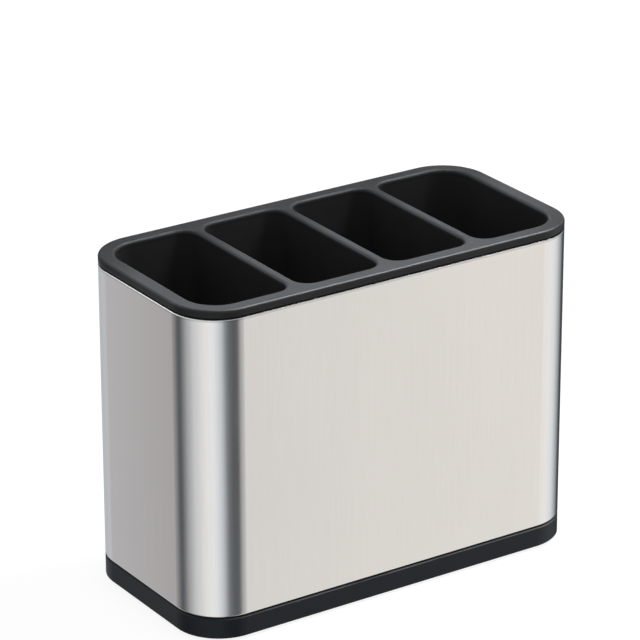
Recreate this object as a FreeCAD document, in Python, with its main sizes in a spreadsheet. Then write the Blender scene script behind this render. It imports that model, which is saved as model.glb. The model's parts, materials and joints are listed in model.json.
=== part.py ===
import FreeCAD, Part
import math
import os
import Sketcher

# Cutlery holder with four pockets: a brushed steel sleeve on a moulded base with rubber feet,
# and one moulded liner that hangs in the sleeve by its rim and lifts straight out for washing.
#
# Millimetres. Origin on the table, under the middle of the holder. +X runs along its length,
# the long front face looks towards -Y, +Z is up. Each body is drawn about its own z = 0, and
# its Placement puts it at its height.

SIZES = {
    # Plan of the whole holder, which rim, sleeve and base share.
    "length": 204.0,
    "width": 100.0,
    "corner_radius": 22.4,
    # Gaps between pieces that slip over or into each other, and the chamfers that start them.
    "slip_clearance": 0.3,
    "hook_clearance": 0.2,
    "lead_in": 0.6,
    # Shadow lines that set the steel off from the mouldings above and below it.
    "base_gap": 0.9,
    "rim_gap": 1.0,
    "gap_depth": 0.7,
    # Steel sleeve: one sheet, folded in flat at both edges.
    "sleeve_height": 140.8,
    "sheet_thickness": 0.6,
    "hem_height": 5.0,
    "fold_chamfer": 0.3,
    # Base moulding: an outer band, a ledge for the sleeve and an upstand inside the sleeve.
    "base_height": 9.7,
    "base_floor": 2.2,
    "base_bottom_chamfer": 0.5,
    "base_top_chamfer": 0.5,
    "upstand_height": 10.0,
    "upstand_wall": 1.6,
    "basin_chamfer": 1.5,
    # Snap hooks on the upstand, which catch the sleeve's lower hem.
    "hook_width": 12.0,
    "hook_height": 3.2,
    "hook_land": 0.8,
    "hook_slit": 1.0,
    "hook_root": 1.5,
    "hook_offset": 50.0,
    # Rubber feet, in recesses under the base.
    "foot_diameter": 14.0,
    "foot_inset": 20.0,
    "foot_recess": 1.0,
    "foot_proud": 1.2,
    "foot_chamfer": 0.5,
    # Liner: rim, and the skirt below it that centres it in the sleeve.
    "rim_height": 4.3,
    "rim_width": 7.8,
    "rim_skin": 2.2,
    "rim_top_round": 1.3,
    "skirt_depth": 12.0,
    "skirt_wall": 1.6,
    # Liner: pockets, which taper downwards so that the moulding leaves its tool.
    "divider_width": 5.0,
    "divider_pitch": 47.2,
    "drip_space": 16.7,
    "pocket_draft": 1.0,
    "pocket_wall": 1.6,
    "pocket_floor": 2.0,
    "pocket_corner_radius": 7.8,
    "mouth_round": 1.5,
    # Liner: webs that tie neighbouring pockets together low down.
    "tie_height": 40.0,
    "tie_lift": 8.0,
    "tie_thickness": 1.6,
    "tie_spacing": 44.0,
    # Liner: rows of drain slots across the pocket floors.
    "drain_rows": 5,
    "drain_width": 3.0,
    "drain_side_margin": 5.0,
    "drain_end_margin": 11.0,
}

doc = FreeCAD.newDocument("cutlery_holder")
sheet = doc.addObject("Spreadsheet::Sheet", "sizes")
for row, (alias, number) in enumerate(SIZES.items(), start=1):
    sheet.set(f"A{row}", alias)
    sheet.set(f"B{row}", str(number))
    sheet.setAlias(f"B{row}", alias)
doc.recompute()

# Formulas that more than one feature uses. An inset is measured inwards from the plan outline.
HALF_LENGTH = "sizes.length / 2"
HALF_WIDTH = "sizes.width / 2"
HEM_INSET = "2 * sizes.sheet_thickness"
SLIP_INSET = f"{HEM_INSET} + sizes.slip_clearance"
BASIN_INSET = f"{SLIP_INSET} + sizes.upstand_wall"
# Heights above the base's underside.
SLEEVE_SEAT = "sizes.base_height + sizes.base_gap"
RIM_SEAT = f"{SLEEVE_SEAT} + sizes.sleeve_height"
# Depths below the rim's top, and how far a pocket's wall leans in by its floor.
CELL_DEPTH = f"({RIM_SEAT} + sizes.rim_height - sizes.base_floor - sizes.drip_space)"
POCKET_DEPTH = f"({CELL_DEPTH} - sizes.pocket_floor)"
LEAN = f"{POCKET_DEPTH} * tan(sizes.pocket_draft * 1 deg)"

# Outlines that a cell and its pocket are lofted through: name, depth below the rim's top, and
# how far outside the tapered wall it lies. Three flats stand for the round of a pocket's mouth,
# each between two angles that the round has turned through.
CELL_ENDS = (("top", "0", "0"), ("bottom", CELL_DEPTH, "0"))
POCKET_ENDS = (
    *((f"mouth_{turn}", f"sizes.mouth_round * (1 - cos({turn} deg))",
       f"sizes.mouth_round * (1 - sin({turn} deg))") for turn in (0, 30, 60, 90)),
    ("bottom", POCKET_DEPTH, "0"),
)

SAME_PLACE = 1e-4


def value(formula):
    """Number that a formula on the sheet gives."""
    return float(sheet.evalExpression(formula))


def add_body(label, seat="0"):
    """Body whose own z = 0 lies at the height `seat` above the table."""
    body = doc.addObject("PartDesign::Body", label)
    body.Label = label
    body.setExpression("Placement.Base.z", seat)
    return body


def origin_feature(body, role):
    """Plane or axis of the body's own origin."""
    return next(item for item in body.Origin.OriginFeatures if item.Role == role)


def add_sketch(body, name, offset="0", role="XY_Plane", shift="0"):
    """Sketch on an origin plane, moved by `offset` along its normal and `shift` along its Y."""
    sketch = body.newObject("Sketcher::SketchObject", name)
    sketch.AttachmentSupport = [(origin_feature(body, role), "")]
    sketch.MapMode = "FlatFace"
    sketch.setExpression("AttachmentOffset.Base.y", shift)
    sketch.setExpression("AttachmentOffset.Base.z", offset)
    return sketch


def place_point(sketch, kind, geometry, point, formula, name):
    """Dimension along X or Y from the sketch's origin to a point on either side of it."""
    distance = value(formula)
    if distance >= 0:
        constraint = Sketcher.Constraint(kind, -1, 1, geometry, point, distance)
        size = formula
    else:
        constraint = Sketcher.Constraint(kind, geometry, point, -1, 1, -distance)
        size = f"-({formula})"
    sketch.renameConstraint(sketch.addConstraint(constraint), name)
    sketch.setExpression(f"Constraints.{name}", size)


def set_radius(sketch, geometry, formula, name):
    """Radius dimension of an arc or a circle."""
    constraint = Sketcher.Constraint("Radius", geometry, value(formula))
    sketch.renameConstraint(sketch.addConstraint(constraint), name)
    sketch.setExpression(f"Constraints.{name}", formula)


def corner_arc(x_side, y_side, inward, radius, start_angle):
    """Quarter circle that rounds the corner where two sides would meet."""
    centre = FreeCAD.Vector(x_side + inward * radius, y_side - math.copysign(radius, y_side), 0)
    circle = Part.Circle(centre, FreeCAD.Vector(0, 0, 1), radius)
    start = math.radians(start_angle)
    return Part.ArcOfCircle(circle, start, start + math.pi / 2)


def draw_outline(sketch, name, left, right, half_depth, left_radius, right_radius):
    """Rectangle from x = left to x = right, centred on y = 0, with rounded corners."""
    first = sketch.GeometryCount
    x_left, x_right, y_back = value(left), value(right), value(half_depth)
    corners = (
        corner_arc(x_right, -y_back, -1, value(right_radius), 270),
        corner_arc(x_right, y_back, -1, value(right_radius), 0),
        corner_arc(x_left, y_back, 1, value(left_radius), 90),
        corner_arc(x_left, -y_back, 1, value(left_radius), 180),
    )
    # The front, right, back and left sides, each followed by the corner that it runs into.
    for index, corner in enumerate(corners):
        side = Part.LineSegment(corners[index - 1].EndPoint, corner.StartPoint)
        sketch.addGeometry(side, False)
        sketch.addGeometry(corner, False)
    front, front_corner, right_side, back, back_corner, left_side = (
        first + step for step in (0, 1, 2, 4, 5, 6))
    for step in range(8):
        following = first + (step + 1) % 8
        sketch.addConstraint(Sketcher.Constraint("Tangent", first + step, 2, following, 1))
    for side in (front, back):
        sketch.addConstraint(Sketcher.Constraint("Horizontal", side))
    for side in (right_side, left_side):
        sketch.addConstraint(Sketcher.Constraint("Vertical", side))
    for corner in (front_corner, back_corner):
        sketch.addConstraint(Sketcher.Constraint("Equal", corner, corner + 2))
    set_radius(sketch, front_corner, right_radius, f"{name}_right_radius")
    set_radius(sketch, back_corner, left_radius, f"{name}_left_radius")
    place_point(sketch, "DistanceX", right_side, 1, right, f"{name}_right")
    place_point(sketch, "DistanceX", left_side, 1, left, f"{name}_left")
    place_point(sketch, "DistanceY", front, 1, f"-({half_depth})", f"{name}_front")
    place_point(sketch, "DistanceY", back, 1, half_depth, f"{name}_back")


def draw_plan(sketch, name, inset="0"):
    """The holder's plan outline, moved in all round by `inset`."""
    right = f"{HALF_LENGTH} - ({inset})"
    radius = f"sizes.corner_radius - ({inset})"
    draw_outline(sketch, name, f"-({right})", right, f"{HALF_WIDTH} - ({inset})", radius, radius)


def draw_polygon(sketch, name, points):
    """Closed outline with straight sides through points given as pairs of formulas."""
    first = sketch.GeometryCount
    count = len(points)
    corners = [FreeCAD.Vector(value(x), value(y), 0) for x, y in points]
    for index, corner in enumerate(corners):
        sketch.addGeometry(Part.LineSegment(corner, corners[(index + 1) % count]), False)
    for index, (x, y) in enumerate(points):
        line = first + index
        following = first + (index + 1) % count
        sketch.addConstraint(Sketcher.Constraint("Coincident", line, 2, following, 1))
        place_point(sketch, "DistanceX", line, 1, x, f"{name}_x{index}")
        place_point(sketch, "DistanceY", line, 1, y, f"{name}_y{index}")


def draw_box(sketch, name, left, right, bottom, top):
    """Rectangle with sharp corners."""
    draw_polygon(sketch, name, ((left, bottom), (right, bottom), (right, top), (left, top)))


def draw_circle(sketch, name, x, y, radius):
    """Circle about a point."""
    circle = sketch.GeometryCount
    centre = FreeCAD.Vector(value(x), value(y), 0)
    sketch.addGeometry(Part.Circle(centre, FreeCAD.Vector(0, 0, 1), value(radius)), False)
    set_radius(sketch, circle, radius, f"{name}_radius")
    place_point(sketch, "DistanceX", circle, 3, x, f"{name}_x")
    place_point(sketch, "DistanceY", circle, 3, y, f"{name}_y")


def extrude(body, kind, sketch, length, down=False, both_sides=False):
    """Pad or Pocket of a sketch along its normal, or against it if `down` is set."""
    feature = body.newObject(f"PartDesign::{kind}", f"{sketch.Name}_{kind.lower()}")
    feature.Profile = sketch
    feature.setExpression("Length", length)
    # A pad grows along the normal by itself, and a pocket cuts against it.
    feature.Reversed = down if kind == "Pad" else not down
    if both_sides:
        feature.SideType = "Symmetric"
    doc.recompute()
    return feature


def dress_edges(body, name, size, chosen, kind="Chamfer"):
    """Fillet or Chamfer on the edges of the body so far for which `chosen` is true."""
    base = body.Tip
    names = [f"Edge{index}" for index, edge in enumerate(base.Shape.Edges, start=1) if chosen(edge)]
    if not names:
        raise ValueError(f"{body.Label}: {name} finds no edges")
    feature = body.newObject(f"PartDesign::{kind}", name)
    feature.Base = (base, names)
    feature.setExpression("Radius" if kind == "Fillet" else "Size", size)
    doc.recompute()


def lies_at(edge, level):
    """Whether an edge lies in the horizontal plane at a height given as a formula."""
    box = edge.BoundBox
    return max(abs(z - value(level)) for z in (box.ZMin, box.ZMax)) < SAME_PLACE


def on_plan(edge, inset="0"):
    """Whether an edge's ends lie on the plan outline that is moved in by `inset`."""
    radius = value(f"sizes.corner_radius - ({inset})")
    straight_x = value(f"{HALF_LENGTH} - sizes.corner_radius")
    straight_y = value(f"{HALF_WIDTH} - sizes.corner_radius")
    for vertex in edge.Vertexes:
        x_over = max(abs(vertex.X) - straight_x, 0)
        y_over = max(abs(vertex.Y) - straight_y, 0)
        if abs(math.hypot(x_over, y_over) - radius) > SAME_PLACE:
            return False
    return True


def make_sleeve():
    """Steel tube of rounded oblong plan, with its sheet folded in flat at both edges."""
    body = add_body("steel_sleeve", f"sizes.foot_proud + {SLEEVE_SEAT}")
    wall = add_sketch(body, "sleeve_wall")
    draw_plan(wall, "outside")
    draw_plan(wall, "inside", "sizes.sheet_thickness")
    extrude(body, "Pad", wall, "sizes.sleeve_height")
    upper_hem_level = "sizes.sleeve_height - sizes.hem_height"
    for name, level in (("lower_hem", "0"), ("upper_hem", upper_hem_level)):
        hem = add_sketch(body, name, level)
        draw_plan(hem, "outside", "sizes.sheet_thickness")
        draw_plan(hem, "inside", HEM_INSET)
        extrude(body, "Pad", hem, "sizes.hem_height")

    def folded(edge):
        at_end = lies_at(edge, "0") or lies_at(edge, "sizes.sleeve_height")
        return at_end and (on_plan(edge) or on_plan(edge, HEM_INSET))

    dress_edges(body, "folds", "min(sizes.fold_chamfer; 0.9 * sizes.sheet_thickness)", folded)
    return body


def make_base():
    """Shallow tray that carries the sleeve on a ledge and keeps it on with snap hooks."""
    body = add_body("base", "sizes.foot_proud")
    upstand_top = f"{SLEEVE_SEAT} + sizes.upstand_height"
    steps = (
        ("band", "0", "sizes.base_height"),
        ("ledge", "sizes.gap_depth", SLEEVE_SEAT),
        ("upstand", SLIP_INSET, upstand_top),
    )
    for name, inset, top in steps:
        step = add_sketch(body, name)
        draw_plan(step, name, inset)
        extrude(body, "Pad", step, top)
    basin = add_sketch(body, "basin", "sizes.base_floor")
    draw_plan(basin, "basin", BASIN_INSET)
    extrude(body, "Pocket", basin, upstand_top)
    dress_edges(body, "basin_corner", "sizes.basin_chamfer",
                lambda edge: lies_at(edge, "sizes.base_floor"))
    dress_edges(body, "bottom_edge", "sizes.base_bottom_chamfer",
                lambda edge: lies_at(edge, "0") and on_plan(edge))
    dress_edges(body, "band_edge", "sizes.base_top_chamfer",
                lambda edge: lies_at(edge, "sizes.base_height") and on_plan(edge))
    dress_edges(body, "upstand_lead_in", "sizes.lead_in",
                lambda edge: lies_at(edge, upstand_top) and on_plan(edge, SLIP_INSET))
    add_foot_seats(body)
    add_snap_hooks(body, upstand_top)
    return body


def foot_places():
    """Name and place of each foot."""
    x = f"{HALF_LENGTH} - sizes.foot_inset"
    y = f"{HALF_WIDTH} - sizes.foot_inset"
    return (
        ("front_left", f"-({x})", f"-({y})"),
        ("front_right", x, f"-({y})"),
        ("rear_left", f"-({x})", y),
        ("rear_right", x, y),
    )


def add_foot_seats(body):
    """Round recesses under the base that keep the feet in place."""
    recesses = add_sketch(body, "foot_recesses")
    for place, x, y in foot_places():
        draw_circle(recesses, place, x, y, "sizes.foot_diameter / 2 + sizes.slip_clearance")
    extrude(body, "Pocket", recesses, "sizes.foot_recess")


def hook_profile(sign, half_size):
    """Barbed profile of a hook that is rooted in the upstand, on one side of the holder."""
    tip_inset = "sizes.sheet_thickness + sizes.hook_clearance"
    root, wall, tip = (f"{sign}({half_size} - ({inset}))"
                       for inset in (BASIN_INSET, SLIP_INSET, tip_inset))
    catch = f"{SLEEVE_SEAT} + sizes.hem_height"
    land = f"{catch} + sizes.hook_land"
    top = f"{catch} + sizes.hook_height"
    return (root, catch), (tip, catch), (tip, land), (wall, top), (root, top)


def add_snap_hooks(body, upstand_top):
    """Two hooks on each long side and one at each end, each on a tongue between two slits."""
    long_places = {"right": "sizes.hook_offset", "left": "-sizes.hook_offset"}
    end_places = {"middle": "0"}
    # Side, plane across it, plane along it, half the holder's size across it, hook places.
    sides = (
        ("long_side", "YZ_Plane", "XZ_Plane", HALF_WIDTH, long_places),
        ("end", "XZ_Plane", "YZ_Plane", HALF_LENGTH, end_places),
    )
    for side, across, along, half_size, places in sides:
        for name, place in places.items():
            hooks = add_sketch(body, f"{side}_hooks_{name}", place, across)
            draw_polygon(hooks, "low", hook_profile("-", half_size))
            draw_polygon(hooks, "high", hook_profile("", half_size))
            extrude(body, "Pad", hooks, "sizes.hook_width", both_sides=True)
        slits = add_sketch(body, f"{side}_slits", role=along)
        for name, place in places.items():
            for edge, sign in (("before", "-"), ("after", "+")):
                near = f"{place} {sign} sizes.hook_width / 2"
                draw_box(slits, f"{name}_{edge}", near, f"{near} {sign} sizes.hook_slit",
                         f"{SLEEVE_SEAT} + sizes.hook_root", upstand_top)
        extrude(body, "Pocket", slits, f"2 * {half_size}", both_sides=True)


def make_liner():
    """Rim, skirt and four tapered pockets with drained floors, in one moulding."""
    body = add_body("liner", f"sizes.foot_proud + {RIM_SEAT}")
    rim = add_sketch(body, "rim", "sizes.rim_gap")
    draw_plan(rim, "rim")
    extrude(body, "Pad", rim, "sizes.rim_height - sizes.rim_gap")
    seat = add_sketch(body, "rim_seat")
    draw_plan(seat, "seat", "sizes.gap_depth")
    extrude(body, "Pad", seat, "sizes.rim_height")
    skirt = add_sketch(body, "skirt")
    draw_plan(skirt, "skirt", SLIP_INSET)
    extrude(body, "Pad", skirt, "sizes.skirt_depth", down=True)
    hollow = add_sketch(body, "rim_hollow", "-sizes.skirt_depth")
    draw_plan(hollow, "hollow", f"{SLIP_INSET} + sizes.skirt_wall")
    extrude(body, "Pocket", hollow, "sizes.skirt_depth + sizes.rim_height - sizes.rim_skin")
    # The cells' solid blocks and the webs between them come first, then the pockets cut both.
    add_cells(body, "cell", "Additive", "sizes.pocket_wall", CELL_ENDS)
    add_tie_webs(body)
    add_cells(body, "pocket", "Subtractive", "0", POCKET_ENDS)
    dress_liner(body)
    add_drain_slots(body)
    return body


def add_cells(body, name, kind, wall, ends):
    """Four tapered cells, `wall` larger all round than their pockets.

    Each is a loft through outlines whose corner radii don't follow the taper, so that the walls
    keep their thickness round the corners all the way down.
    """
    half_divider = "sizes.divider_width / 2"
    corner = "sizes.pocket_corner_radius"
    plan_corner = f"max(sizes.corner_radius - sizes.rim_width; {corner})"
    # Cell right of the middle, its left side, right side, and radius of its two right corners.
    cells = (
        ("inner", half_divider, f"sizes.divider_pitch - {half_divider}", corner),
        ("outer", f"sizes.divider_pitch + {half_divider}", f"{HALF_LENGTH} - sizes.rim_width",
         plan_corner),
    )
    lofts = []
    for cell, left, right, right_corner in cells:
        sections = []
        for end, drop, flare in ends:
            offset = f"{wall} + {flare}"
            growth = f"({offset} - {drop} * tan(sizes.pocket_draft * 1 deg))"
            section = add_sketch(body, f"{cell}_{name}_{end}", f"sizes.rim_height - {drop}")
            draw_outline(section, cell, f"{left} - {growth}", f"{right} + {growth}",
                         f"{HALF_WIDTH} - sizes.rim_width + {growth}",
                         f"{corner} + {offset}", f"{right_corner} + {offset}")
            sections.append(section)
        loft = body.newObject(f"PartDesign::{kind}Loft", f"{cell}_{name}")
        loft.Profile = sections[0]
        loft.Sections = sections[1:]
        loft.Ruled = True
        doc.recompute()
        lofts.append(loft)
    left_cells = body.newObject("PartDesign::Mirrored", f"left_{name}s")
    left_cells.Originals = lofts
    left_cells.MirrorPlane = (origin_feature(body, "YZ_Plane"), [""])
    body.Tip = left_cells
    doc.recompute()


def add_tie_webs(body):
    """Thin walls across all cells, of which the gaps between the pockets keep a web each."""
    bottom = f"sizes.rim_height - {CELL_DEPTH} + sizes.tie_lift"
    end = f"({HALF_LENGTH} - sizes.corner_radius)"
    for name, sign in (("front", ""), ("rear", "-")):
        web = add_sketch(body, f"{name}_ties", f"{sign}sizes.tie_spacing / 2", "XZ_Plane")
        draw_box(web, name, f"-{end}", end, bottom, f"{bottom} + sizes.tie_height")
        extrude(body, "Pad", web, "sizes.tie_thickness", both_sides=True)


def dress_liner(body):
    """Round on the rim's top edge, and the chamfer that leads the skirt into the sleeve."""
    dress_edges(body, "rim_top_edge", "sizes.rim_top_round",
                lambda edge: lies_at(edge, "sizes.rim_height") and on_plan(edge), "Fillet")
    dress_edges(body, "skirt_lead_in", "sizes.lead_in",
                lambda edge: lies_at(edge, "-sizes.skirt_depth") and on_plan(edge, SLIP_INSET))


def add_drain_slots(body):
    """Rows of slots through the pocket floors, each row with one slot in every floor."""
    half_row = f"({HALF_WIDTH} - sizes.rim_width - {LEAN} - sizes.drain_end_margin)"
    half_slot = "sizes.drain_width / 2"
    half_divider = "sizes.divider_width / 2"
    margin = f"{LEAN} + sizes.drain_side_margin"
    floors = (
        ("inner", f"{half_divider} + {margin}", f"sizes.divider_pitch - {half_divider} - {margin}"),
        ("outer", f"sizes.divider_pitch + {half_divider} + {margin}",
         f"{HALF_LENGTH} - sizes.rim_width - ({margin})"),
    )
    row = add_sketch(body, "drain_row", f"sizes.rim_height - {POCKET_DEPTH}", shift=f"-{half_row}")
    for name, near, far in floors:
        draw_box(row, f"{name}_right", near, far, f"-{half_slot}", half_slot)
        draw_box(row, f"{name}_left", f"-({far})", f"-({near})", f"-{half_slot}", half_slot)
    slots = extrude(body, "Pocket", row, "sizes.pocket_floor", down=True)
    rows = body.newObject("PartDesign::LinearPattern", "drain_rows")
    rows.Originals = [slots]
    rows.Direction = (origin_feature(body, "Y_Axis"), [""])
    rows.setExpression("Length", f"2 * {half_row}")
    rows.setExpression("Occurrences", "sizes.drain_rows")
    body.Tip = rows
    doc.recompute()


def make_foot(place, x, y):
    """Rubber disc, seated in its recess and chamfered where it meets the table."""
    body = add_body(f"foot_{place}")
    body.setExpression("Placement.Base.x", x)
    body.setExpression("Placement.Base.y", y)
    disc = add_sketch(body, f"{place}_disc")
    radius = "sizes.foot_diameter / 2"
    disc.addGeometry(Part.Circle(FreeCAD.Vector(), FreeCAD.Vector(0, 0, 1), value(radius)), False)
    disc.addConstraint(Sketcher.Constraint("Coincident", 0, 3, -1, 1))
    set_radius(disc, 0, radius, "radius")
    extrude(body, "Pad", disc, "sizes.foot_recess + sizes.foot_proud")
    dress_edges(body, f"{place}_edge", "sizes.foot_chamfer", lambda edge: lies_at(edge, "0"))
    return body


def check(bodies):
    """Stop if any object of the document failed, or any piece is not one valid solid."""
    for item in doc.Objects:
        if "Invalid" in item.State or "Error" in item.State:
            raise ValueError(f"{item.Label} failed: {item.State}")
    for body in bodies:
        shape = body.Shape
        if shape.isNull() or not shape.isValid() or len(shape.Solids) != 1:
            raise ValueError(f"{body.Label} is not one valid solid")


pieces = [make_base(), make_sleeve(), make_liner()]
pieces += [make_foot(*place) for place in foot_places()]
doc.recompute()
check(pieces)
os.makedirs("parts", exist_ok=True)
for piece in pieces:
    piece.Shape.exportStep(os.path.join("parts", f"{piece.Label}.step"))
    box = piece.Shape.BoundBox
    print(f"{piece.Label}: {piece.Shape.Volume:.0f} mm3, z from {box.ZMin:.2f} to {box.ZMax:.2f}")
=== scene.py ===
import json
import math

import bpy
from mathutils import Matrix, Vector


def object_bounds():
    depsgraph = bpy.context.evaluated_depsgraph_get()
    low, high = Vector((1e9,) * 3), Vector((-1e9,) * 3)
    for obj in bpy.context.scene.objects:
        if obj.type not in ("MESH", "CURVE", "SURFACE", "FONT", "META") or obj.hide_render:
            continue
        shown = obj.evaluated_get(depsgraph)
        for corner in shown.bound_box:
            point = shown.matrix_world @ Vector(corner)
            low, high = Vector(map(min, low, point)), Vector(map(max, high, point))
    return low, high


# Cutlery holder: brushed steel sleeve, satin black liner and base, rubber feet.
# Metres. Every visible surface is a CAD node with a procedural material of its own.

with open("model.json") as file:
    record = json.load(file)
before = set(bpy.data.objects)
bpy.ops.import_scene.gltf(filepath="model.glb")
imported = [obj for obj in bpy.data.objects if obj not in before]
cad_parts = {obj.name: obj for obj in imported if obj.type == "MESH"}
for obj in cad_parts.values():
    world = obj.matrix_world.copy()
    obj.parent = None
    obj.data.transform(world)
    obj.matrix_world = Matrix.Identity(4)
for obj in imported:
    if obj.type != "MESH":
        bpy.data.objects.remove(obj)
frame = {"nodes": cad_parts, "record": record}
cad_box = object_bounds()
scene = bpy.context.scene
NODES = frame["nodes"]

MM = 0.001


def heights(node):
    """Lowest and highest level of a CAD node."""
    levels = [corner[2] for corner in NODES[node].bound_box]
    return min(levels), max(levels)


RIM_TOP = heights("liner")[1]
STEEL_BOTTOM, STEEL_TOP = heights("steel_sleeve")
# The side of the base ends below the steel, under a fine gap.
BASE_GAP = 0.9 * MM
BASE_STEP = STEEL_BOTTOM - BASE_GAP
# How far into a gap the painted shade looks for a wall opposite.
GAP_SHADE_REACH = 1.5 * MM
# Most of a noise lies between these values.
NOISE_RANGE = (0.3, 0.7)


# ---------------------------------------------------------------- node helpers

def add_node(tree, kind, inputs=None, **settings):
    """Node of a tree, with its settings, and inputs given as sockets or plain values."""
    made = tree.nodes.new(kind)
    for name, setting in settings.items():
        setattr(made, name, setting)
    for name, source in (inputs or {}).items():
        if isinstance(source, bpy.types.NodeSocket):
            tree.links.new(source, made.inputs[name])
        else:
            made.inputs[name].default_value = source
    return made


def calculate(tree, operation, first, second=0.0, third=0.0):
    """Result of a Math node."""
    made = add_node(tree, "ShaderNodeMath", {0: first, 1: second, 2: third},
                    operation=operation)
    return made.outputs[0]


def remap(tree, source, low, high, at_low=0.0, at_high=1.0, smooth=False):
    """Value that goes from `at_low` to `at_high` while the source goes from `low` to `high`."""
    made = add_node(tree, "ShaderNodeMapRange",
                    {"Value": source, "From Min": low, "From Max": high,
                     "To Min": at_low, "To Max": at_high},
                    interpolation_type="SMOOTHSTEP" if smooth else "LINEAR", clamp=True)
    return made.outputs["Result"]


def dot_product(tree, first, second):
    """Dot product of two vectors."""
    made = add_node(tree, "ShaderNodeVectorMath", {0: first, 1: second},
                    operation="DOT_PRODUCT")
    return made.outputs["Value"]


def axes_of(tree, vector):
    """Outputs X, Y and Z of a vector."""
    return add_node(tree, "ShaderNodeSeparateXYZ", {"Vector": vector}).outputs


def noise(tree, place, scale, detail=2.0, roughness=0.5):
    """Noise of about `scale` features to the metre, centred on 0.5."""
    made = add_node(tree, "ShaderNodeTexNoise",
                    {"Vector": place, "Scale": scale, "Detail": detail, "Roughness": roughness},
                    noise_dimensions="3D")
    return made.outputs["Fac"]


def drawn_out(tree, place, squeeze):
    """Coordinates squeezed along Z, in which a noise is drawn out upwards."""
    made = add_node(tree, "ShaderNodeMapping", {"Vector": place, "Scale": (1.0, 1.0, squeeze)})
    return made.outputs["Vector"]


def mixed(tree, factor, first, second):
    """Colour between two others."""
    made = add_node(tree, "ShaderNodeMix", data_type="RGBA")
    colours = [socket for socket in made.inputs if socket.type == "RGBA"]
    for socket, source in zip([made.inputs[0], *colours], (factor, first, second)):
        if isinstance(source, bpy.types.NodeSocket):
            tree.links.new(source, socket)
        else:
            socket.default_value = source
    return next(socket for socket in made.outputs if socket.type == "RGBA")


def grey(level, warm=0.0, rosy=0.0):
    """Colour of a brightness, a little warmer, cooler or redder than neutral."""
    return (level * (1 + warm + rosy), level, level * (1 - warm), 1.0)


def new_material(name):
    """Empty material, its node tree and its output node."""
    material = bpy.data.materials.new(name)
    material.use_nodes = True
    tree = material.node_tree
    tree.nodes.clear()
    return material, tree, add_node(tree, "ShaderNodeOutputMaterial")


# ---------------------------------------------------------------- materials

def edge_wear(tree, rounded):
    """0 on flat surfaces, rising to 1 where the rounded surface turns away from its face."""
    face = add_node(tree, "ShaderNodeNewGeometry").outputs["Normal"]
    unmarked_at, fully_marked_at = 0.995, 0.90
    return remap(tree, dot_product(tree, rounded, face), unmarked_at, fully_marked_at, smooth=True)


def front_chamfer_mask(tree):
    """1 on a chamfer that faces the front, fading to 0 round the corners, and 0 elsewhere."""
    # Mask for the painted highlight on the base's front chamfer.
    face = axes_of(tree, add_node(tree, "ShaderNodeNewGeometry").outputs["Normal"])
    slope = calculate(tree, "MULTIPLY", face["Y"], face["Z"])
    unmarked_at, fully_marked_at = -0.40, -0.49
    return remap(tree, slope, unmarked_at, fully_marked_at)


def gap_shade_mask(tree):
    """1 deep in a narrow gap, falling to 0 on open surfaces."""
    # Painted shade: gaps darkened by ambient occlusion, where shade falls.
    openness = add_node(tree, "ShaderNodeAmbientOcclusion", {"Distance": GAP_SHADE_REACH},
                        samples=8).outputs["AO"]
    unshaded, shaded = 0.80, 0.45
    return remap(tree, openness, unshaded, shaded, smooth=True)


def with_painted_shade(tree, shader, output, shaded):
    """Link a shader to the output, with painted shade, a matt near-black shader, mixed over it by
    the given mask.
    """
    dark_shade = add_node(tree, "ShaderNodeBsdfDiffuse", {"Color": grey(0.004)})
    surface = add_node(tree, "ShaderNodeMixShader",
                       {0: shaded, 1: shader.outputs["BSDF"], 2: dark_shade.outputs[0]})
    tree.links.new(surface.outputs[0], output.inputs["Surface"])


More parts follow.
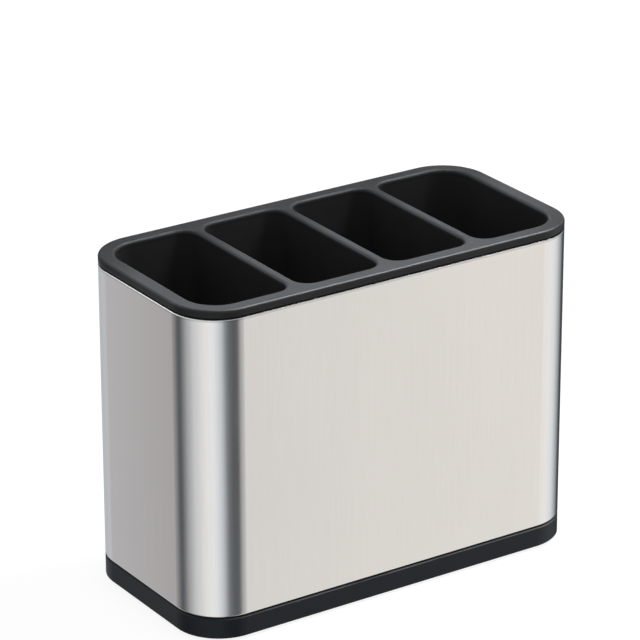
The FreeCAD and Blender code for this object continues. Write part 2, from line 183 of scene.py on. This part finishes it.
def brushed_steel(name):
    """Stainless sheet with its grain upwards, so that highlights spread sideways."""
    material, tree, output = new_material(name)
    place = add_node(tree, "ShaderNodeTexCoord").outputs["Object"]
    axes = axes_of(tree, place)

    fine = noise(tree, drawn_out(tree, place, squeeze=0.010), scale=5200.0, detail=3.0,
                 roughness=0.6)
    broad = noise(tree, drawn_out(tree, place, squeeze=0.016), scale=900.0)
    cloud = noise(tree, drawn_out(tree, place, squeeze=0.5), scale=22.0, detail=3.0)
    fine_share = 0.72
    streaks = calculate(tree, "ADD", calculate(tree, "MULTIPLY", fine, fine_share),
                        calculate(tree, "MULTIPLY", broad, 1.0 - fine_share))
    darkest, palest = (0.715, 0.705, 0.692, 1.0), (0.765, 0.757, 0.745, 1.0)
    colour = mixed(tree, remap(tree, streaks, *NOISE_RANGE), darkest, palest)
    smoothest, roughest, cloudiness = 0.158, 0.192, 0.012
    streak_low, streak_high = 0.25, 0.75
    roughness = calculate(tree, "ADD",
                          remap(tree, streaks, streak_low, streak_high, smoothest, roughest),
                          remap(tree, cloud, *NOISE_RANGE, -cloudiness, cloudiness))

    # Painted shade darkens the folds, where the rounded surface turns upwards.
    fold_radius = 0.8 * MM
    rounded = add_node(tree, "ShaderNodeBevel", {"Radius": fold_radius},
                       samples=8).outputs["Normal"]
    upturn = calculate(tree, "ABSOLUTE", axes_of(tree, rounded)["Z"])
    fold_unshaded_to, fold_shaded_from = 0.55, 0.90
    shaded_folds = remap(tree, upturn, fold_unshaded_to, fold_shaded_from, smooth=True)
    # A fine dark line is painted below the upper fold, where the sheet starts to bend: painted
    # shade standing in for a darker reflection there.
    line_depth, line_core, line_reach, line_darkness = 0.75 * MM, 0.15 * MM, 0.45 * MM, 0.20
    above_line = calculate(tree, "SUBTRACT", axes["Z"], STEEL_TOP - line_depth)
    off_line = calculate(tree, "ABSOLUTE", above_line)
    dark_line = remap(tree, off_line, line_core, line_reach, line_darkness, 0.0)
    fold_and_line_shade = calculate(tree, "MAXIMUM", shaded_folds, dark_line)

    # The ends of the sheet bow outwards a hair between their corners.
    bow_curvature = -0.35
    bow_height = calculate(tree, "MULTIPLY", bow_curvature,
                           calculate(tree, "POWER", axes["Y"], 2.0))
    bow = add_node(tree, "ShaderNodeBump",
                   {"Strength": 1.0, "Distance": 1.0, "Height": bow_height, "Normal": rounded})
    grain = add_node(tree, "ShaderNodeBump",
                     {"Strength": 0.35, "Distance": 0.005 * MM, "Height": streaks,
                      "Normal": bow.outputs["Normal"]})
    tangent = add_node(tree, "ShaderNodeTangent", direction_type="RADIAL", axis="Z")
    shader = add_node(tree, "ShaderNodeBsdfPrincipled",
                      {"Base Color": colour, "Roughness": roughness, "Metallic": 1.0,
                       "Anisotropic": 0.7, "Normal": grain.outputs["Normal"],
                       "Tangent": tangent.outputs["Tangent"]})
    # Painted shade in gaps, on the folds and along the fine line.
    with_painted_shade(tree, shader, output, calculate(tree, "MAXIMUM", gap_shade_mask(tree), fold_and_line_shade))
    return material


def moulded_plastic(name, colour, wear_and_highlight_colour, roughness, rounding, front_chamfer_highlight_only,
                    gap_shade_above, back_shade_above):
    """Satin black moulding with fine spark-eroded grain and faint mottling.

    Its edges are scuffed paler, or instead its front chamfer alone is painted paler, a painted
    highlight.
    Its front is rubbed a little smoother than its back. Painted shade darkens gaps above one
    level, and the back above another.
    """
    material, tree, output = new_material(name)
    place = add_node(tree, "ShaderNodeTexCoord").outputs["Object"]
    axes = axes_of(tree, place)
    grain = noise(tree, place, scale=3600.0, roughness=0.55)
    mottle = noise(tree, place, scale=34.0, detail=4.0)
    rounded = add_node(tree, "ShaderNodeBevel", {"Radius": rounding}, samples=6).outputs["Normal"]

    # On the base, only the front chamfer is painted paler: a painted highlight. On the liner, the
    # edges are worn paler.
    edges = front_chamfer_mask(tree) if front_chamfer_highlight_only else edge_wear(tree, rounded)
    paling_low, paling_high, least_paling = 0.35, 0.65, 0.35
    wear_and_highlight_mask = calculate(tree, "MULTIPLY", edges,
                     remap(tree, mottle, paling_low, paling_high, least_paling, 1.0))
    mottle_darkness = 0.86
    mottled_dark = tuple(mottle_darkness * channel for channel in colour)
    shade = mixed(tree, remap(tree, mottle, *NOISE_RANGE), (*mottled_dark, 1.0), (*colour, 1.0))
    wear_and_highlight = mixed(tree, wear_and_highlight_mask, shade, (*wear_and_highlight_colour, 1.0))

    front, back = cad_box[0][1], cad_box[1][1]
    smoother_in_front, rougher_at_back, uneven = 0.02, 0.06, 0.02
    rubbed = remap(tree, axes["Y"], front, back, roughness - smoother_in_front,
                   roughness + rougher_at_back)
    unevenness = calculate(tree, "ADD", remap(tree, mottle, *NOISE_RANGE, -uneven, uneven),
                           remap(tree, grain, *NOISE_RANGE, -uneven, uneven))
    bump = add_node(tree, "ShaderNodeBump",
                    {"Strength": 0.3, "Distance": 0.012 * MM, "Height": grain, "Normal": rounded})
    shader = add_node(tree, "ShaderNodeBsdfPrincipled",
                      {"Base Color": wear_and_highlight, "Roughness": calculate(tree, "ADD", rubbed, unevenness),
                       "Metallic": 0.0, "IOR": 1.46, "Specular IOR Level": 0.15,
                       "Specular Tint": (0.92, 1.0, 1.06, 1.0),
                       "Normal": bump.outputs["Normal"]})

    # Painted shade in gaps above one level, and painted shade over the back above another, where
    # the back falls darker in the light.
    gap_unshaded_below, gap_shaded_from = gap_shade_above - 0.12 * MM, gap_shade_above + 0.08 * MM
    gap_shade = calculate(tree, "MULTIPLY", gap_shade_mask(tree),
                     remap(tree, axes["Z"], gap_unshaded_below, gap_shaded_from))
    back_shade_starts, back_shade_full, back_shade_strength, back_shade_rise = 0.0, 32.0 * MM, 0.32, 1.5 * MM
    back_shade = calculate(tree, "MULTIPLY",
                     remap(tree, axes["Y"], back_shade_starts, back_shade_full, 0.0, back_shade_strength,
                           smooth=True),
                     remap(tree, axes["Z"], back_shade_above, back_shade_above + back_shade_rise))
    with_painted_shade(tree, shader, output, calculate(tree, "MAXIMUM", gap_shade, back_shade))
    return material


def black_rubber(name):
    """Matt foot rubber with a dusty bloom and a fine pitted skin."""
    material, tree, output = new_material(name)
    place = add_node(tree, "ShaderNodeTexCoord").outputs["Object"]
    pits = noise(tree, place, scale=2600.0, detail=3.0, roughness=0.6)
    bloom = noise(tree, place, scale=160.0, detail=3.0)
    clean_rubber, dusty_rubber = grey(0.016, -0.02), grey(0.030)
    dust_low, dust_high = 0.35, 0.7
    colour = mixed(tree, remap(tree, bloom, dust_low, dust_high), clean_rubber, dusty_rubber)
    smoothest, roughest = 0.72, 0.85
    roughness = remap(tree, bloom, *NOISE_RANGE, smoothest, roughest)
    bump = add_node(tree, "ShaderNodeBump",
                    {"Strength": 0.6, "Distance": 0.03 * MM, "Height": pits})
    shader = add_node(tree, "ShaderNodeBsdfPrincipled",
                      {"Base Color": colour, "Roughness": roughness, "Metallic": 0.0,
                       "IOR": 1.5, "Normal": bump.outputs["Normal"]})
    tree.links.new(shader.outputs["BSDF"], output.inputs["Surface"])
    return material


FINISHES = {
    "sleeve_steel": brushed_steel("sleeve_steel"),
    "liner_plastic": moulded_plastic(
        "liner_plastic", colour=(0.0344, 0.0336, 0.0336), wear_and_highlight_colour=(0.0550, 0.0540, 0.0535),
        roughness=0.38, rounding=0.6 * MM, front_chamfer_highlight_only=False,
        gap_shade_above=0.0, back_shade_above=RIM_TOP - 3.0 * MM),
    # The base's pale colour is a painted highlight along its front chamfer.
    "base_plastic": moulded_plastic(
        "base_plastic", colour=(0.0235, 0.0275, 0.0320), wear_and_highlight_colour=(0.1850, 0.1830, 0.1830),
        roughness=0.40, rounding=0.3 * MM, front_chamfer_highlight_only=True,
        gap_shade_above=BASE_STEP, back_shade_above=RIM_TOP),
    "foot_rubber": black_rubber("foot_rubber"),
}
for part in frame["record"]["subparts"]:
    mesh = NODES[part["node"]].data
    mesh.materials.clear()
    mesh.materials.append(FINISHES[part["material_slot"]])


# ---------------------------------------------------------------- studio

# What stands round the holder for the steel to reflect: three soft boxes with dark gaps
# between them. Azimuth in degrees from straight in front towards the left, brightness there,
# how much warmer than neutral it is, and for two of the stops how much redder.
REFLECTIONS = (
    ("back box", -180, 0.60, -0.06),
    ("back box, right end", -142, 0.64, -0.06),
    ("right gap, edge", -131, 0.33, -0.08),
    ("right gap", -120, 0.0, -0.10),
    ("right gap, far side", -110, 0.025, -0.10),
    ("front-right box, rear edge", -92, 0.50, -0.07),
    ("front-right box, rear end", -76, 0.93, -0.04),
    ("front-right box", -58, 1.07, 0.0),
    ("front-right box, front end", -38, 1.03, 0.050),
    ("front-right box, edge", -31, 0.885, 0.035),
    ("front gap, edge", -25, 0.73, 0.0),
    ("front gap", -18, 0.06, -0.06),
    ("front gap, middle", -8, 0.105, -0.10),
    ("front gap, far side", 6, 0.165, -0.10),
    ("front-left box, front edge", 24, 0.83, -0.06),
    ("front-left box, front end", 37, 1.07, -0.03),
    ("front-left box", 54, 1.02, 0.02),
    ("front-left box, rear end", 78, 0.81, -0.02),
    ("front-left box, rear edge", 98, 0.51, -0.01),
    ("left gap, edge", 110, 0.25, -0.04),
    ("left gap", 121, 0.05, -0.10),
    ("left gap, far side", 131, 0.18, -0.08),
    ("back box, left edge", 144, 0.48, -0.01, 0.07),
    ("back box, left end", 159, 0.69, -0.04, 0.04),
    ("back box again", 180, 0.60, -0.06),
)

# The room above the soft boxes, given in the same way.
ROOM = (
    ("back", -180, 0.55, -0.06),
    ("back right", -142, 0.12, -0.06),
    ("right", -95, 0.60, -0.06),
    ("front right", -34, 0.60, -0.03),
    ("front left", 34, 0.65, -0.03),
    ("left", 95, 0.90, -0.03),
    ("back left", 140, 1.60, -0.03),
    ("back again", 180, 0.55, -0.06),
)
# Height of the direction in which the room has taken over from the soft boxes.
ROOM_FROM = 0.25

# Round soft box overhead that only gloss sees: the direction of its middle, the angles from it
# between which the box fades, and its brightness.
SPOT_DIRECTION = (0.512, 0.120, 0.850)
SPOT_INNER, SPOT_OUTER = 10.0, 22.0
SPOT_RADIANCE = 27.0

# Plain light on matt surfaces, from the two sides and from straight above.
LIGHT_FROM_LEFT = grey(0.05, -0.05)
LIGHT_FROM_RIGHT = grey(0.27, -0.05)
LIGHT_FROM_ABOVE = grey(0.66)
WHITE = grey(1.0)


def surround(tree, turn, stops):
    """Colours all round the holder, blended from one stop to the next."""
    ramp = add_node(tree, "ShaderNodeValToRGB", {"Fac": turn})
    colours = ramp.color_ramp
    colours.interpolation = "EASE"
    first, last = colours.elements
    first.position, last.position = 0.0, 1.0
    first.color, last.color = (grey(*stop[2:]) for stop in (stops[0], stops[-1]))
    for _, angle, *shade in stops[1:-1]:
        colours.elements.new((angle + 180) / 360).color = grey(*shade)
    return ramp.outputs["Color"]


def studio_world():
    """White to the camera, plain ambient light to matt surfaces, soft boxes to glossy ones."""
    world = bpy.data.worlds.new("studio")
    world.use_nodes = True
    scene.world = world
    tree = world.node_tree
    tree.nodes.clear()
    direction = add_node(tree, "ShaderNodeTexCoord").outputs["Generated"]
    axes = axes_of(tree, direction)
    azimuth = calculate(tree, "ARCTAN2", calculate(tree, "MULTIPLY", axes["X"], -1.0),
                        calculate(tree, "MULTIPLY", axes["Y"], -1.0))
    turn = calculate(tree, "MULTIPLY_ADD", azimuth, 0.5 / math.pi, 0.5)

    inside, outside = (math.cos(math.radians(angle)) for angle in (SPOT_INNER, SPOT_OUTER))
    nearness = dot_product(tree, direction, SPOT_DIRECTION)
    overhead = mixed(tree, remap(tree, nearness, outside, inside, smooth=True),
                     surround(tree, turn, ROOM), grey(SPOT_RADIANCE))
    reflected = mixed(tree, remap(tree, axes["Z"], 0.0, ROOM_FROM, smooth=True),
                      surround(tree, turn, REFLECTIONS), overhead)

    left_end, right_end, top_end = -1.0, 0.4, 0.9
    sideways = mixed(tree, remap(tree, axes["X"], left_end, right_end),
                     LIGHT_FROM_LEFT, LIGHT_FROM_RIGHT)
    ambient = mixed(tree, remap(tree, axes["Z"], 0.0, top_end), sideways, LIGHT_FROM_ABOVE)
    path = add_node(tree, "ShaderNodeLightPath").outputs
    unseen = mixed(tree, path["Is Glossy Ray"], ambient, reflected)
    seen = mixed(tree, path["Is Camera Ray"], unseen, WHITE)
    shader = add_node(tree, "ShaderNodeBackground", {"Color": seen, "Strength": 1.0})
    output = add_node(tree, "ShaderNodeOutputWorld")
    tree.links.new(shader.outputs["Background"], output.inputs["Surface"])


def pale_floor():
    """White floor that keeps the holder's shadow; reflections look past it at the soft boxes."""
    reach = 6.0
    mesh = bpy.data.meshes.new("floor")
    mesh.from_pydata([(-reach, -reach, 0), (reach, -reach, 0), (reach, reach, 0),
                      (-reach, reach, 0)], [], [(0, 1, 2, 3)])
    floor = bpy.data.objects.new("floor", mesh)
    scene.collection.objects.link(floor)
    material, tree, output = new_material("floor_paint")
    path = add_node(tree, "ShaderNodeLightPath").outputs
    # The camera sees a glowing floor with a thin coat of paint, on which the shadow shows.
    glow = add_node(tree, "ShaderNodeEmission", {"Color": WHITE, "Strength": 0.88})
    thin_paint = add_node(tree, "ShaderNodeBsdfDiffuse", {"Color": grey(0.20)})
    shown = add_node(tree, "ShaderNodeAddShader", {0: glow.outputs[0], 1: thin_paint.outputs[0]})
    # Light bounces off plain paint, which is clear to gloss and from below.
    paint = add_node(tree, "ShaderNodeBsdfDiffuse", {"Color": grey(0.45)})
    clear = add_node(tree, "ShaderNodeBsdfTransparent")
    to_camera = add_node(tree, "ShaderNodeMixShader",
                         {0: path["Is Camera Ray"], 1: paint.outputs[0], 2: shown.outputs[0]})
    underside = add_node(tree, "ShaderNodeNewGeometry").outputs["Backfacing"]
    unseen = calculate(tree, "MAXIMUM", path["Is Glossy Ray"], underside)
    surface = add_node(tree, "ShaderNodeMixShader",
                       {0: unseen, 1: to_camera.outputs[0], 2: clear.outputs[0]})
    tree.links.new(surface.outputs[0], output.inputs["Surface"])
    mesh.materials.append(material)


def soft_box(name, place, target, size, radiance):
    """Rectangular lamp that faces a point, of the brightness that its surface shows."""
    lamp = bpy.data.lights.new(name, "AREA")
    lamp.shape = "RECTANGLE"
    lamp.size, lamp.size_y = size
    lamp.energy = radiance * math.pi * size[0] * size[1]
    holder = bpy.data.objects.new(name, lamp)
    scene.collection.objects.link(holder)
    holder.location = place
    holder.rotation_mode = "QUATERNION"
    holder.rotation_quaternion = (Vector(target) - Vector(place)).to_track_quat("-Z", "Y")
    return holder


studio_world()
pale_floor()
# Lamp high on the right, for matt and glossy surfaces alike.
soft_box("overhead_box", place=(0.82, -0.22, 1.48), target=(0.0, 0.0, 0.15), size=(0.35, 0.7),
         radiance=24.0)
# Card close behind the holder, which only gloss sees: the rim's top mirrors it, and fades where
# it comes close under the card's lower edge.
card = soft_box("rear_card", place=(0.0, 0.105, 0.346), target=(0.0, -1.0, 0.346),
                size=(0.39, 0.30), radiance=1.22)
card.data.color = (0.90, 1.0, 1.10)
card.visible_diffuse = False
card.visible_camera = False


# ---------------------------------------------------------------- camera

def add_camera(place, azimuth, elevation, roll, lens):
    """Camera at a place, with its back turned to an azimuth and an elevation in degrees."""
    data = bpy.data.cameras.new("camera")
    data.sensor_width = 36.0
    data.lens = lens
    camera = bpy.data.objects.new("camera", data)
    scene.collection.objects.link(camera)
    turn, rise, lean = (math.radians(angle) for angle in (azimuth, elevation, roll))
    back = Vector((math.sin(turn) * math.cos(rise), -math.cos(turn) * math.cos(rise),
                   math.sin(rise)))
    right = (-back).cross(Vector((0, 0, 1))).normalized()
    up = right.cross(-back)
    level_right = math.cos(lean) * right + math.sin(lean) * up
    level_up = -math.sin(lean) * right + math.cos(lean) * up
    axes = Matrix((level_right, level_up, back)).transposed()
    camera.matrix_world = Matrix.Translation(place) @ axes.to_4x4()
    scene.camera = camera


add_camera(place=(-0.86797, -1.29087, 0.76252), azimuth=-33.686, elevation=22.582, roll=-0.111,
           lens=211.08)
scene.view_settings.view_transform = "Standard"
